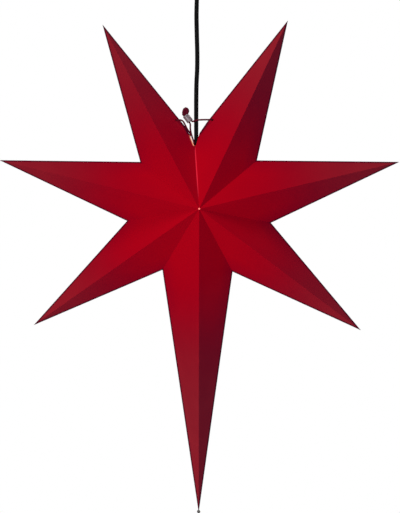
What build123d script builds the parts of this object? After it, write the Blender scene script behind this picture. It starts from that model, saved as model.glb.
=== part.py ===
from build123d import *

import math
import os

# A seven-point folded paper star lantern that hangs on its mains cord from a small ceiling fitting.
# Millimetres, +Z up. The star's front looks along -Y.
# The origin is the middle of the face that meets the ceiling.

os.makedirs("parts", exist_ok=True)

# Star: folded paper sheets, one for each point
DROP = 370.0  # ceiling face down to the middle of the star
STAR_SHIFT = 2.0  # the star's middle hangs this far to the right of the cord's exit
VALLEY = 105.0  # middle to the inner corner between two points
CLOSING_VALLEY = 97.5  # the same at the seam that opens, which sits deeper
REACH = 292.0  # middle to the tip of a short point
LONG_REACH = 442.0  # middle to the tip of the long bottom point
HALF_DEPTH = 80.0  # middle plane to the front or back apex
PAPER = 0.4
FLAP = 9.0  # width of the glue flap along each valley fold
FLAP_START = 14.0  # from each end of the fold to the flap
SLIT = 1.0  # gap along the seam that opens
SLIT_START = 16.0  # from the star's axis to the gap
CLOSING_LEAN = 10.0  # degrees that the closing flaps lean, so that one stands behind the slit
EYE_D = 2.4  # hole that the points leave round each apex

# Directions, clockwise from straight up in degrees, of each point's ridge and of the seam after it.
# The star is hung by hand, so they are not quite even.
POINT_ANGLES = {
    "point_upper_right": (25.5, 51.5),
    "point_right": (77.5, 103.0),
    "point_lower_right": (127.5, 153.0),
    "point_bottom": (180.1, 210.0),
    "point_lower_left": (234.3, 258.5),
    "point_left": (283.0, 307.0),
    "point_upper_left": (332.0, 356.0),
}
LONG_POINT = "point_bottom"
CLOSING_SEAM = POINT_ANGLES["point_upper_left"][1]

# Mouth: the cut that lets the cord in at the top of the seam that opens
MOUTH_LEFT = 17.0  # up the left fold from the inner corner
MOUTH_RIGHT = 29.5  # up the right fold
MOUTH_DEPTH = 10.5  # down from the inner corner
MOUTH_FLOOR = 2.6  # width of its lower end
NOTCH_UP = 10.0  # up the right fold to the notch beside the cord
NOTCH_IN = 1.4  # depth of the notch
MOUTH_TOP = 12.0  # how far the cut runs on above its lips

# Tie: a string from the upper right point through a bead, down into the mouth and up to the upper left point
TIE_UP = 36.0  # holes along the folds from the inner corner
TIE_IN = 3.8  # holes inside the folds
STRING_D = 2.2
KNOT_D = 3.4
BEAD_D = 9.4
BEAD_LENGTH = 11.5
BEAD_BORE = 6.2
BEAD_TILT = 52.0  # degrees from level, up to the left
BEAD_LEAD = 1.4  # half bead lengths that the string runs straight on each side of the bead's middle
# Places of the tie, measured from below the cord's exit at the height of the star's middle
BEAD_PLACE = (-14.1, -5.2, 125.0)
TIE_CROSSING = ((8.0, -8.0, 123.2), (-3.0, -6.0, 122.6))  # before the cord, on the way to the bead
TIE_LOOP = (
    (-15.2, -5.6, 134.8), (-14.1, -5.4, 137.2), (-16.2, -5.2, 139.5), (-19.3, -4.8, 138.8), (-20.9, -5.0, 134.4))
TIE_BIGHT = (  # down into the mouth
    (-10.9, -5.8, 112.0), (-9.4, -5.4, 104.2), (-7.3, -5.4, 97.5), (-6.4, -4.6, 90.5), (-8.8, -3.2, 87.6))
TIE_RISE = (  # behind the left lip, out over it and up
    (-11.8, -2.4, 89.6), (-12.9, -2.6, 97.0), (-9.9, -2.6, 102.8), (-14.6, -5.6, 109.0), (-18.6, -5.4, 117.2),
    (-21.8, -5.6, 122.6))
TIE_STANDS = 8.0  # how far the string comes forward out of its holes
KNOT_STANDS = 1.2  # the knots' middles, before the star's middle plane
TIP_BEAD_D = 5.0
TIP_BEAD_BORE = 2.0
TIP_BEAD_DEPTH = 4.2  # how far the tip stands in its bead

# Clearances
FIT = 0.3  # between pieces that only lie close
SLIDE = 0.2  # round pieces that slip into each other

# Cord: round two-core mains cord
CORD_D = 5.8
CORE_D = 2.0
CORD_SWING = 25.0  # degrees that the cord may lean either way at its exit
CORD_BENDS = (  # across and up, from the origin
    (-1.6, -88.0), (-1.3, -122.0), (0.2, -152.0), (0.0, -176.0), (-1.7, -196.0), (-2.0, -237.0),
)
CORNER_SHARE = 0.45  # how much of the shorter run each corner of a cord or wire takes up

# Ceiling fitting
CANOPY_D = 84.0
CANOPY_HEIGHT = 34.0
CANOPY_WALL = 1.6
CANOPY_ROUND = 9.0
BRACKET_WIDTH = 16.0
BRACKET_STEEL = 1.6
EAR_HEIGHT = 14.0
SLOT_SPACING = 50.0
SLOT_LENGTH = 10.0
SLOT_WIDTH = 4.5
SIDE_SCREW_D = 3.0
SIDE_SCREW_LENGTH = 6.5
SIDE_SCREW_DROP = 8.5
SCREW_HEAD_D = 5.6
SCREW_HEAD = 2.0
SCREW_SLOT = 0.8
GLAND_SHANK_D = 10.0
GLAND_FLANGE_D = 18.0
GLAND_FLANGE = 2.6
GLAND_STUB_D = 12.4
GLAND_STUB = 5.0
GLAND_NUT_FLATS = 15.0
GLAND_NUT = 4.0
CAP_D = 17.0
CAP_FLOOR = 5.0
CAP_ROUND = 1.6
BUSH = 2.6
BLOCK_LENGTH = 24.0
BLOCK_WIDTH = 14.0
BLOCK_HEIGHT = 11.0
BLOCK_ROUND = 1.0
BLOCK_SHIFT = 4.0  # the block and its screw stand beside the cord's axis
POLE_SPACING = 12.0
SLEEVE_D = 4.4
SLEEVE_BORE = 3.0
TERMINAL_SCREW_D = 2.4
TERMINAL_SCREW_SPACING = 7.0
LEAD_TOP = 6.0  # sheathed cord standing above the gland's shank
CORE_RISE = 3.4  # straight run of a core out of the sheath
CORE_BOW = 6.0  # how far a core bows out before the terminal block
CORE_ENTRY = 2.0  # core standing in its terminal

# Lampholder for a small screw lamp
DOME_R = 14.5
HOLDER_WALL = 2.0
SKIRT = 12.0
NECK = 10.0
SLEEVE_LENGTH = 30.0
SHELF = 1.6
SHELF_BORE = 17.4
COLLAR_D = 12.0
COLLAR = 8.0
GRIP_SCREW_D = 3.0
CORE_BLOCK = 8.0
THREAD_BORE = 14.4
THREAD_WALL = 0.4
THREAD_LENGTH = 22.0
BUTTON_D = 5.0
BUTTON = 2.6
RIVET_D = 3.0
HOLDER_SCREW_SPACING = 11.0
HOLDER_SCREW_HEAD_D = 3.8
CORD_END = 6.0  # cord standing into the dome, below its top

# Lamp: a small ball lamp with a screw cap
LAMP_CAP_D = 13.9
LAMP_CAP_WALL = 0.4
LAMP_CAP_LENGTH = 20.0
LAMP_CONTACT_D = 5.0
LAMP_CONTACT = 1.2
LAMP_INSULATOR = 2.6
BALL_D = 45.0
GLASS = 0.8
NECK_D = 12.6
NECK_LENGTH = 12.0
NECK_SOCKET = 4.0  # neck standing in the cap
STEM_D = 5.0
STEM_LENGTH = 20.0
FILAMENT_D = 1.0
FILAMENT_SPAN = 14.0
FILAMENT_LENGTH = 20.0
FILAMENT_BOW = 0.4


def spot(angle, radius, depth=0.0):
    """A place in the star: an angle clockwise from up, a radius from the middle, a depth behind its plane."""
    turn = math.radians(angle)
    return Vector(STAR_SHIFT + radius * math.sin(turn), depth, -DROP + radius * math.cos(turn))


CENTRE = spot(0, 0)
FRONT = spot(0, 0, -HALF_DEPTH)
BACK = spot(0, 0, HALF_DEPTH)
closing_line = spot(CLOSING_SEAM, CLOSING_VALLEY) - CENTRE
slit_plane = Plane(origin=CENTRE, x_dir=closing_line, z_dir=closing_line.cross(FRONT - CENTRE))


def finish(name, part):
    """Labels a finished piece and writes it under its own name."""
    part.label = name
    export_step(part, f"parts/{name}.step")


def upright(x=0.0, z=0.0):
    """A drawing plane for turned profiles: radius across and height up, on an upright axis."""
    return Plane(origin=(x, 0, z), x_dir=(1, 0, 0), z_dir=(0, -1, 0))


def turned(profile, x=0.0, z=0.0):
    """A round piece, from the corners of its half profile as (radius, height)."""
    with BuildPart() as piece:
        with BuildSketch(upright(x, z)):
            with BuildLine():
                Polyline(*profile, close=True)
            make_face()
        revolve(axis=Axis((x, 0, z), (0, 0, 1)))
    return piece.part


def corner_radii(route):
    """The radius at each corner of a route: as large as its two runs allow."""
    radii = []
    for before, corner, after in zip(route, route[1:], route[2:]):
        run_in = corner - before
        run_out = after - corner
        half_turn = math.radians(run_in.get_angle(run_out)) / 2
        radii.append(CORNER_SHARE * min(run_in.length, run_out.length) / math.tan(half_turn))
    return radii


def tube(name, points, diameter):
    """A cord or wire along straight runs joined by tangent arcs, with a print of its radii and volume."""
    route = [Vector(place) for place in points]
    radii = corner_radii(route)
    with BuildPart() as cord:
        with BuildLine() as path:
            FilletPolyline(*route, radius=radii)
        with BuildSketch(Plane(origin=path.line @ 0, z_dir=path.line % 0)):
            Circle(diameter / 2)
        sweep()
    length = path.wire().length
    share = cord.part.volume / (math.pi * diameter**2 / 4 * length)
    print(f"{name}: length {length:.1f}, radii {[round(r, 1) for r in radii]}, volume share {share:.4f}")
    return cord.part


def screw(head_d, head, shank_d, shank):
    """A slotted round-head screw along Z, its head above the origin and its shank below."""
    with BuildPart() as piece:
        Cylinder(shank_d / 2, shank, align=(Align.CENTER, Align.CENTER, Align.MAX))
        Cylinder(head_d / 2, head, align=(Align.CENTER, Align.CENTER, Align.MIN))
        fillet(piece.edges().filter_by(GeomType.CIRCLE).sort_by(Axis.Z)[-1], head / 3)
        with BuildSketch(Plane.XY.offset(head)):
            Rectangle(head_d + head, SCREW_SLOT)
        extrude(amount=-head / 2, mode=Mode.SUBTRACT)
    return piece.part


# The star

def sheet_panel(corners):
    """A flat paper panel: its outer triangle lofted to the same triangle drawn in towards the star's middle,

    so that panels meet in a mitre along every fold.
    """
    facing = (corners[1] - corners[0]).cross(corners[2] - corners[0]).normalized()
    stand_off = abs((corners[0] - CENTRE).dot(facing))
    drawn_in = 1 - PAPER / stand_off
    inner = [CENTRE + (corner - CENTRE) * drawn_in for corner in corners]
    with BuildPart() as panel:
        for triangle in (corners, inner):
            flat = Plane(origin=triangle[0], x_dir=triangle[1] - triangle[0], z_dir=facing)
            with BuildSketch(flat):
                with BuildLine():
                    Polyline(*[flat.to_local_coords(corner) for corner in triangle], close=True)
                make_face()
        loft()
    return panel.part


def glue_flap(apex, valley, tip, set_back, lean):
    """The strip that folds inwards along a valley fold.

    It lies beside the seam's plane, or is set back from it and leans towards its own point.
    """
    fold = valley - apex
    beside = (apex - CENTRE).cross(valley - CENTRE).normalized()
    if beside.dot(tip - CENTRE) < 0:
        beside = beside * -1
    outward = fold.cross(beside).normalized()
    if outward.dot(valley - CENTRE) < 0:
        outward = outward * -1
    facing = fold.cross(tip - apex)
    rise = -set_back * facing.dot(beside) / facing.dot(outward)
    root = (apex + valley) * 0.5 + beside * set_back + outward * rise
    across = math.radians(lean)
    side_normal = beside * math.cos(across) + outward * math.sin(across)
    side = Plane(origin=root, x_dir=outward.cross(beside), z_dir=side_normal)
    half = fold.length / 2 - FLAP_START
    width = (FLAP + rise) / math.cos(across)
    with BuildPart() as flap:
        with BuildSketch(side):
            with BuildLine():
                Polyline((-half, 0), (half, 0), (half - FLAP, -width), (FLAP - half, -width), close=True)
            make_face()
        extrude(amount=PAPER)
    return flap.part


def valley_corner(seam):
    """The inner corner of the outline on a seam."""
    return spot(seam, CLOSING_VALLEY if seam == CLOSING_SEAM else VALLEY)


def folded_point(ridge, reach, seams):
    """One point of the star: a sheet folded into four panels, with glue flaps along its two seams."""
    tip = spot(ridge, reach)
    panels = []
    flaps = []
    for apex in (FRONT, BACK):
        for seam in seams:
            valley = valley_corner(seam)
            panels.append(sheet_panel([apex, valley, tip]))
            if seam == CLOSING_SEAM:
                lean = CLOSING_LEAN if seam == seams[1] else -CLOSING_LEAN
                flaps.append(glue_flap(apex, valley, tip, SLIT / 2, lean))
            else:
                flaps.append(glue_flap(apex, valley, tip, 0.0, 0.0))
    with BuildPart() as point:
        add(panels)
        if CLOSING_SEAM in seams:
            with BuildSketch(slit_plane):
                with Locations(((SLIT_START + VALLEY) / 2, 0)):
                    Rectangle(VALLEY - SLIT_START, 4 * HALF_DEPTH)
            extrude(amount=SLIT / 2, both=True, mode=Mode.SUBTRACT)
        with BuildSketch(Plane.XZ):
            with Locations((CENTRE.X, CENTRE.Z)):
                Circle(EYE_D / 2)
        extrude(amount=HALF_DEPTH, both=True, mode=Mode.SUBTRACT)
        add(flaps)
    return point.part


seam_before = CLOSING_SEAM
points = {}
for name, (ridge, seam_after) in POINT_ANGLES.items():
    reach = LONG_REACH if name == LONG_POINT else REACH
    points[name] = folded_point(ridge, reach, (seam_before, seam_after))
    seam_before = seam_after

# The lampholder's dome hangs in the seam's plane, where the closing flaps rest on it
seat_angle = math.atan2(HALF_DEPTH, CLOSING_VALLEY)
dome_radius_in_star = CLOSING_VALLEY - (FLAP + DOME_R + FIT) / math.sin(seat_angle)
DOME = spot(CLOSING_SEAM, dome_radius_in_star)
COLLAR_TOP = DOME.Z + DOME_R + COLLAR

# Corners of the mouth and the tie's holes, measured along the two folds beside the closing seam
corner = spot(CLOSING_SEAM, CLOSING_VALLEY)
left_fold = (spot(POINT_ANGLES["point_upper_left"][0], REACH) - corner).normalized()
right_fold = (spot(POINT_ANGLES["point_upper_right"][0], REACH) - corner).normalized()
mouth_floor = spot(CLOSING_SEAM, CLOSING_VALLEY - MOUTH_DEPTH)
left_lip = corner + left_fold * MOUTH_LEFT
right_lip = corner + right_fold * MOUTH_RIGHT
right_inward = Vector(right_fold.Z, 0, -right_fold.X)
notch = corner + right_fold * NOTCH_UP + right_inward * NOTCH_IN
mouth = [
    (left_lip.X, left_lip.Z),
    (mouth_floor.X - MOUTH_FLOOR / 2, mouth_floor.Z),
    (mouth_floor.X + MOUTH_FLOOR / 2, mouth_floor.Z),
    (notch.X, notch.Z),
    (right_lip.X, right_lip.Z),
    (corner.X, right_lip.Z + MOUTH_TOP),
]
left_inward = Vector(-left_fold.Z, 0, left_fold.X)
right_hole = corner + right_fold * TIE_UP + right_inward * TIE_IN
left_hole = corner + left_fold * TIE_UP + left_inward * TIE_IN
collar_room = COLLAR_D / 2 + 2 * FIT
collar_room_top = CENTRE.Z + CLOSING_VALLEY * (1 - collar_room / HALF_DEPTH) - 3 * PAPER

for name, piece in points.items():
    with BuildPart() as point:
        add(piece)
        if name in ("point_upper_left", "point_upper_right"):
            with BuildSketch(Plane.XZ):
                with BuildLine():
                    Polyline(*mouth, close=True)
                make_face()
            extrude(amount=HALF_DEPTH, both=True, mode=Mode.SUBTRACT)
            with BuildSketch(Plane.XY.offset(DOME.Z)):
                with Locations((DOME.X, 0)):
                    Circle(collar_room)
            extrude(amount=collar_room_top - DOME.Z, mode=Mode.SUBTRACT)
            with BuildSketch(Plane.XZ):
                with Locations((left_hole.X, left_hole.Z), (right_hole.X, right_hole.Z)):
                    Circle(STRING_D / 2 + 2 * FIT)
            extrude(amount=HALF_DEPTH, mode=Mode.SUBTRACT)
    finish(name, point.part)

# Tie string and its bead. The route runs from the right hole, before the cord, up through the bead,
# round the loop, down through the bead again, into the mouth, out over its left lip and to the left hole.
below_exit = Vector(0, 0, -DROP)
bead_middle = below_exit + Vector(*BEAD_PLACE)
bead_axis = Vector(-math.cos(math.radians(BEAD_TILT)), 0, math.sin(math.radians(BEAD_TILT)))
pass_apart = Vector(bead_axis.Z, 0, -bead_axis.X) * (STRING_D / 2 + SLIDE)
bead_half = bead_axis * (BEAD_LENGTH / 2)
up_pass = bead_middle + pass_apart
down_pass = bead_middle - pass_apart
right_knot = right_hole - Vector(0, KNOT_STANDS, 0)
left_knot = left_hole - Vector(0, KNOT_STANDS, 0)
TIE_ROUTE = [
    right_knot,
    right_hole - Vector(0, TIE_STANDS, 0),
    *[below_exit + Vector(*place) for place in TIE_CROSSING],
    up_pass - bead_half * BEAD_LEAD,
    up_pass + bead_half * BEAD_LEAD,
    *[below_exit + Vector(*place) for place in TIE_LOOP],
    down_pass + bead_half * BEAD_LEAD,
    down_pass - bead_half * BEAD_LEAD,
    *[below_exit + Vector(*place) for place in TIE_BIGHT + TIE_RISE],
    left_hole - Vector(0, TIE_STANDS, 0),
    left_knot,
]
string = tube("tie_string", TIE_ROUTE, STRING_D)
with BuildPart() as tie_string:
    add(string)
    with Locations(right_knot, left_knot):
        Sphere(KNOT_D / 2)
finish("tie_string", tie_string.part)

bead_plane = Plane(origin=bead_middle - bead_half, x_dir=(0, 1, 0), z_dir=bead_axis)
with BuildPart() as tie_bead:
    with BuildSketch(bead_plane):
        Circle(BEAD_D / 2)
        Circle(BEAD_BORE / 2, mode=Mode.SUBTRACT)
    extrude(amount=BEAD_LENGTH)
    rims = tie_bead.edges().filter_by(GeomType.CIRCLE).sort_by(SortBy.RADIUS)[-2:]
    fillet(rims, (BEAD_D - BEAD_BORE) / 3)
finish("tie_bead", tie_bead.part)

tip = spot(POINT_ANGLES[LONG_POINT][0], LONG_REACH)
with BuildPart() as tip_bead:
    with Locations((tip.X, tip.Y, tip.Z + TIP_BEAD_DEPTH - TIP_BEAD_D / 2)):
        Sphere(TIP_BEAD_D / 2)
    with BuildSketch(Plane.XY.offset(tip.Z - FIT)):
        with Locations((tip.X, tip.Y)):
            Circle(TIP_BEAD_BORE / 2)
    extrude(amount=TIP_BEAD_D, mode=Mode.SUBTRACT)
finish("tip_bead", tip_bead.part)

# The ceiling fitting
canopy_r = CANOPY_D / 2
with BuildPart() as canopy:
    with BuildSketch(upright()):
        with BuildLine():
            Polyline((0, 0), (canopy_r, 0), (canopy_r, -CANOPY_HEIGHT), (0, -CANOPY_HEIGHT), close=True)
        make_face()
    revolve(axis=Axis.Z)
    fillet(canopy.edges().filter_by(GeomType.CIRCLE).sort_by(Axis.Z)[0], CANOPY_ROUND)
    offset(amount=-CANOPY_WALL, openings=canopy.faces().sort_by(Axis.Z)[-1])
    with BuildSketch(Plane.XY.offset(-CANOPY_HEIGHT)):
        Circle(GLAND_SHANK_D / 2 + SLIDE)
    extrude(amount=CANOPY_HEIGHT, mode=Mode.SUBTRACT)
    with BuildSketch(Plane.YZ):
        with Locations((0, -SIDE_SCREW_DROP)):
            Circle(SIDE_SCREW_D / 2 + SLIDE)
    extrude(amount=canopy_r, both=True, mode=Mode.SUBTRACT)
finish("canopy", canopy.part)

canopy_bore_r = canopy_r - CANOPY_WALL
ear_face = math.sqrt(canopy_bore_r**2 - (BRACKET_WIDTH / 2) ** 2) - FIT
with BuildPart() as ceiling_bracket:
    with BuildSketch():
        Rectangle(2 * ear_face, BRACKET_WIDTH)
        with GridLocations(SLOT_SPACING, 0, 2, 1):
            SlotOverall(SLOT_LENGTH, SLOT_WIDTH, mode=Mode.SUBTRACT)
        with Locations((BLOCK_SHIFT, 0)):
            Circle(SIDE_SCREW_D / 2 + SLIDE, mode=Mode.SUBTRACT)
    extrude(amount=-BRACKET_STEEL)
    with BuildSketch():
        with GridLocations(2 * ear_face - BRACKET_STEEL, 0, 2, 1):
            Rectangle(BRACKET_STEEL, BRACKET_WIDTH)
    extrude(amount=-EAR_HEIGHT)
    with BuildSketch(Plane.YZ):
        with Locations((0, -SIDE_SCREW_DROP)):
            Circle(SIDE_SCREW_D / 2 + SLIDE)
    extrude(amount=canopy_r, both=True, mode=Mode.SUBTRACT)
finish("ceiling_bracket", ceiling_bracket.part)

side_screw = screw(SCREW_HEAD_D, SCREW_HEAD, SIDE_SCREW_D, SIDE_SCREW_LENGTH)
with BuildPart() as canopy_screws:
    for side in (1, -1):
        under_head = (side * (canopy_r + SLIDE), 0, -SIDE_SCREW_DROP)
        seat = Plane(origin=under_head, x_dir=(0, 1, 0), z_dir=(side, 0, 0))
        add(seat * side_screw)
finish("canopy_screws", canopy_screws.part)

cord_bore = CORD_D / 2 + SLIDE
flange_low = -CANOPY_HEIGHT - GLAND_FLANGE
stub_low = flange_low - GLAND_STUB
shank_top = -CANOPY_HEIGHT + CANOPY_WALL + GLAND_NUT + FIT
cord_gland = turned([
    (cord_bore, shank_top),
    (GLAND_SHANK_D / 2, shank_top),
    (GLAND_SHANK_D / 2, -CANOPY_HEIGHT),
    (GLAND_FLANGE_D / 2, -CANOPY_HEIGHT),
    (GLAND_FLANGE_D / 2, flange_low),
    (GLAND_STUB_D / 2, flange_low),
    (GLAND_STUB_D / 2, stub_low),
    (cord_bore, stub_low),
])
finish("cord_gland", cord_gland)

with BuildPart() as gland_nut:
    with BuildSketch(Plane.XY.offset(-CANOPY_HEIGHT + CANOPY_WALL)):
        RegularPolygon(GLAND_NUT_FLATS / 2, 6, major_radius=False)
        Circle(GLAND_SHANK_D / 2 + SLIDE, mode=Mode.SUBTRACT)
    extrude(amount=GLAND_NUT)
finish("gland_nut", gland_nut.part)

# The free cord starts at the pivot, inside the cap nut's bell mouth, and leans there
bush_low = stub_low - SLIDE - BUSH
lean = math.radians(CORD_SWING)
pivot = bush_low - SLIDE - CORD_D / 2 * math.sin(lean) - FIT
cap_floor_top = bush_low - SLIDE
cap_low = cap_floor_top - CAP_FLOOR
mouth_bore = CORD_D / 2 / math.cos(lean) + 2 * FIT
bell_bore = mouth_bore + (pivot - cap_low) * math.tan(lean)
cap_bore = GLAND_STUB_D / 2 + SLIDE
gland_cap = turned([
    (cap_bore, flange_low - SLIDE),
    (CAP_D / 2, flange_low - SLIDE),
    (CAP_D / 2, cap_low + CAP_ROUND),
    (CAP_D / 2 - CAP_ROUND, cap_low),
    (bell_bore, cap_low),
    (mouth_bore, pivot),
    (mouth_bore, cap_floor_top),
    (cap_bore, cap_floor_top),
])
finish("gland_cap", gland_cap)

gland_bush = turned([
    (cord_bore, stub_low - SLIDE),
    (cap_bore - SLIDE, stub_low - SLIDE),
    (cap_bore - SLIDE, bush_low),
    (cord_bore, bush_low),
])
finish("gland_bush", gland_bush)

lead_top = shank_top + LEAD_TOP
with BuildPart() as canopy_lead:
    with BuildSketch(Plane.XY.offset(bush_low)):
        Circle(CORD_D / 2)
    extrude(amount=lead_top - bush_low)
finish("canopy_lead", canopy_lead.part)

block_top = -BRACKET_STEEL
block_low = block_top - BLOCK_HEIGHT
pole_height = (block_top + block_low) / 2
block_floor = Plane(origin=(BLOCK_SHIFT, 0, block_low))
poles = Plane(origin=(BLOCK_SHIFT, 0, pole_height), x_dir=(1, 0, 0), z_dir=(0, -1, 0))
with BuildPart() as terminal_block:
    with BuildSketch(block_floor):
        RectangleRounded(BLOCK_LENGTH, BLOCK_WIDTH, BLOCK_ROUND)
    extrude(amount=BLOCK_HEIGHT)
    with BuildSketch(poles):
        with GridLocations(POLE_SPACING, 0, 2, 1):
            Circle(SLEEVE_D / 2 + SLIDE / 2)
    extrude(amount=BLOCK_WIDTH, both=True, mode=Mode.SUBTRACT)
    with BuildSketch(block_floor):
        with GridLocations(POLE_SPACING, TERMINAL_SCREW_SPACING, 2, 2):
            Circle(TERMINAL_SCREW_D / 2 + SLIDE / 2)
    extrude(amount=pole_height - block_low, mode=Mode.SUBTRACT)
    with BuildSketch(block_floor):
        Circle(SIDE_SCREW_D / 2 + SLIDE)
    extrude(amount=BLOCK_HEIGHT, mode=Mode.SUBTRACT)
finish("terminal_block", terminal_block.part)

sleeve_floor = pole_height - SLEEVE_D / 2
with BuildPart() as terminal_sleeves:
    with BuildSketch(poles):
        with GridLocations(POLE_SPACING, 0, 2, 1):
            Circle(SLEEVE_D / 2)
            Circle(SLEEVE_BORE / 2, mode=Mode.SUBTRACT)
    extrude(amount=BLOCK_WIDTH / 2 - SLIDE, both=True)
    with BuildSketch(block_floor.offset(sleeve_floor - block_low)):
        with GridLocations(POLE_SPACING, TERMINAL_SCREW_SPACING, 2, 2):
            Circle(TERMINAL_SCREW_D / 2 + SLIDE / 2)
    extrude(amount=SLEEVE_D / 2, mode=Mode.SUBTRACT)
finish("terminal_sleeves", terminal_sleeves.part)

with BuildPart() as terminal_screws:
    with BuildSketch(block_floor):
        with GridLocations(POLE_SPACING, TERMINAL_SCREW_SPACING, 2, 2):
            Circle(TERMINAL_SCREW_D / 2)
            Rectangle(TERMINAL_SCREW_D, SCREW_SLOT / 2, mode=Mode.SUBTRACT)
    extrude(amount=SCREW_SLOT)
    with BuildSketch(block_floor.offset(SCREW_SLOT)):
        with GridLocations(POLE_SPACING, TERMINAL_SCREW_SPACING, 2, 2):
            Circle(TERMINAL_SCREW_D / 2)
    extrude(amount=sleeve_floor - block_low)
finish("terminal_screws", terminal_screws.part)

block_screw = screw(SCREW_HEAD_D, SCREW_HEAD, SIDE_SCREW_D, BLOCK_HEIGHT + BRACKET_STEEL)
block_seat = Plane(origin=(BLOCK_SHIFT, 0, block_low), x_dir=(1, 0, 0), z_dir=(0, 0, -1))
finish("block_screw", block_seat * block_screw)

# Inside the canopy each core leaves the sheath and bends into its own pole of the block
core_apart = CORE_D / 2 + SLIDE
block_front = -BLOCK_WIDTH / 2
for name, side in (("live_core", -1), ("neutral_core", 1)):
    pole = BLOCK_SHIFT + side * POLE_SPACING / 2
    route = [
        (side * core_apart, 0, lead_top),
        (side * core_apart, 0, lead_top + CORE_RISE),
        (pole - side * CORE_D, block_front - CORE_BOW / 2, lead_top + CORE_RISE * 3 / 2),
        (pole - side * CORE_D / 4, block_front - CORE_BOW, pole_height - CORE_D),
        (pole, block_front - CORE_BOW / 4, pole_height),
        (pole, block_front + CORE_ENTRY, pole_height),
    ]
    finish(name, tube(name, route, CORE_D))

# The free cord, from the pivot down to the lampholder
cord_end = DOME.Z + DOME_R - HOLDER_WALL - CORD_END
CORD_ROUTE = [
    (0, 0, pivot),
    *[(across, 0, up) for across, up in CORD_BENDS],
    (DOME.X, 0, cord_end),
]
finish("pendant_cord", tube("pendant_cord", CORD_ROUTE, CORD_D))

# The lampholder
inner_r = DOME_R - HOLDER_WALL
with BuildPart() as holder_cap:
    with BuildSketch(upright(DOME.X, DOME.Z)):
        with BuildLine():
            Line((0, -SKIRT), (DOME_R, -SKIRT))
            Line((DOME_R, -SKIRT), (DOME_R, 0))
            CenterArc((0, 0), DOME_R, 0, 90)
            Line((0, DOME_R), (0, -SKIRT))
        make_face()
        with BuildLine():
            Line((0, -SKIRT), (inner_r, -SKIRT))
            Line((inner_r, -SKIRT), (inner_r, 0))
            CenterArc((0, 0), inner_r, 0, 90)
            Line((0, inner_r), (0, -SKIRT))
        make_face(mode=Mode.SUBTRACT)
        with Locations((0, DOME_R - HOLDER_WALL)):
            Rectangle(COLLAR_D / 2, COLLAR + HOLDER_WALL, align=(Align.MIN, Align.MIN))
        Rectangle(cord_bore, DOME_R + COLLAR, align=(Align.MIN, Align.MIN), mode=Mode.SUBTRACT)
    revolve(axis=Axis((DOME.X, 0, DOME.Z), (0, 0, 1)))
    with BuildSketch(Plane.YZ.offset(DOME.X)):
        with Locations((0, COLLAR_TOP - COLLAR / 2)):
            Circle(GRIP_SCREW_D / 2 + SLIDE)
    extrude(amount=COLLAR_D, mode=Mode.SUBTRACT)
finish("holder_cap", holder_cap.part)

grip_length = COLLAR_D / 2 - CORD_D / 2 - SLIDE
with BuildPart() as grip_screw:
    with BuildSketch(Plane.YZ.offset(DOME.X + CORD_D / 2 + SLIDE)):
        with Locations((0, COLLAR_TOP - COLLAR / 2)):
            Circle(GRIP_SCREW_D / 2)
    extrude(amount=grip_length)
    with BuildSketch(Plane.YZ.offset(DOME.X + COLLAR_D / 2)):
        with Locations((0, COLLAR_TOP - COLLAR / 2)):
            Rectangle(GRIP_SCREW_D * 2, SCREW_SLOT)
    extrude(amount=-grip_length / 3, mode=Mode.SUBTRACT)
finish("grip_screw", grip_screw.part)

joint_line = DOME.Z - SKIRT
neck_r = inner_r - SLIDE
neck_bore = neck_r - HOLDER_WALL
sleeve_low = joint_line - SLEEVE_LENGTH
shelf_low = joint_line - SHELF
holder_sleeve = turned([
    (neck_bore, joint_line + NECK),
    (neck_r, joint_line + NECK),
    (neck_r, joint_line),
    (DOME_R, joint_line),
    (DOME_R, sleeve_low),
    (inner_r, sleeve_low),
    (inner_r, shelf_low),
    (SHELF_BORE / 2, shelf_low),
    (SHELF_BORE / 2, joint_line),
    (neck_bore, joint_line),
], DOME.X)
finish("holder_sleeve", holder_sleeve)

core_top = joint_line + CORE_BLOCK
with BuildPart() as holder_core:
    with BuildSketch(Plane.XY.offset(joint_line)):
        with Locations((DOME.X, 0)):
            Circle(neck_bore - SLIDE)
            Circle(RIVET_D / 2 + SLIDE / 2, mode=Mode.SUBTRACT)
            with GridLocations(HOLDER_SCREW_SPACING, 0, 2, 1):
                Circle(TERMINAL_SCREW_D / 2 + SLIDE / 2, mode=Mode.SUBTRACT)
    extrude(amount=CORE_BLOCK)
finish("holder_core", holder_core.part)

small_screw = screw(HOLDER_SCREW_HEAD_D, SCREW_HEAD, TERMINAL_SCREW_D, CORE_BLOCK / 2)
with BuildPart() as holder_screws:
    for side in (1, -1):
        add(Pos(DOME.X + side * HOLDER_SCREW_SPACING / 2, 0, core_top) * small_screw)
finish("holder_screws", holder_screws.part)

thread_shell = turned([
    (THREAD_BORE / 2, joint_line),
    (THREAD_BORE / 2 + THREAD_WALL, joint_line),
    (THREAD_BORE / 2 + THREAD_WALL, joint_line - THREAD_LENGTH),
    (THREAD_BORE / 2, joint_line - THREAD_LENGTH),
], DOME.X)
finish("thread_shell", thread_shell)

button_low = joint_line - BUTTON
centre_contact = turned([
    (0, core_top),
    (RIVET_D / 2, core_top),
    (RIVET_D / 2, joint_line),
    (BUTTON_D / 2, joint_line),
    (BUTTON_D / 2, button_low + BUTTON / 3),
    (BUTTON_D / 3, button_low),
    (0, button_low),
], DOME.X)
finish("centre_contact", centre_contact)

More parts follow.
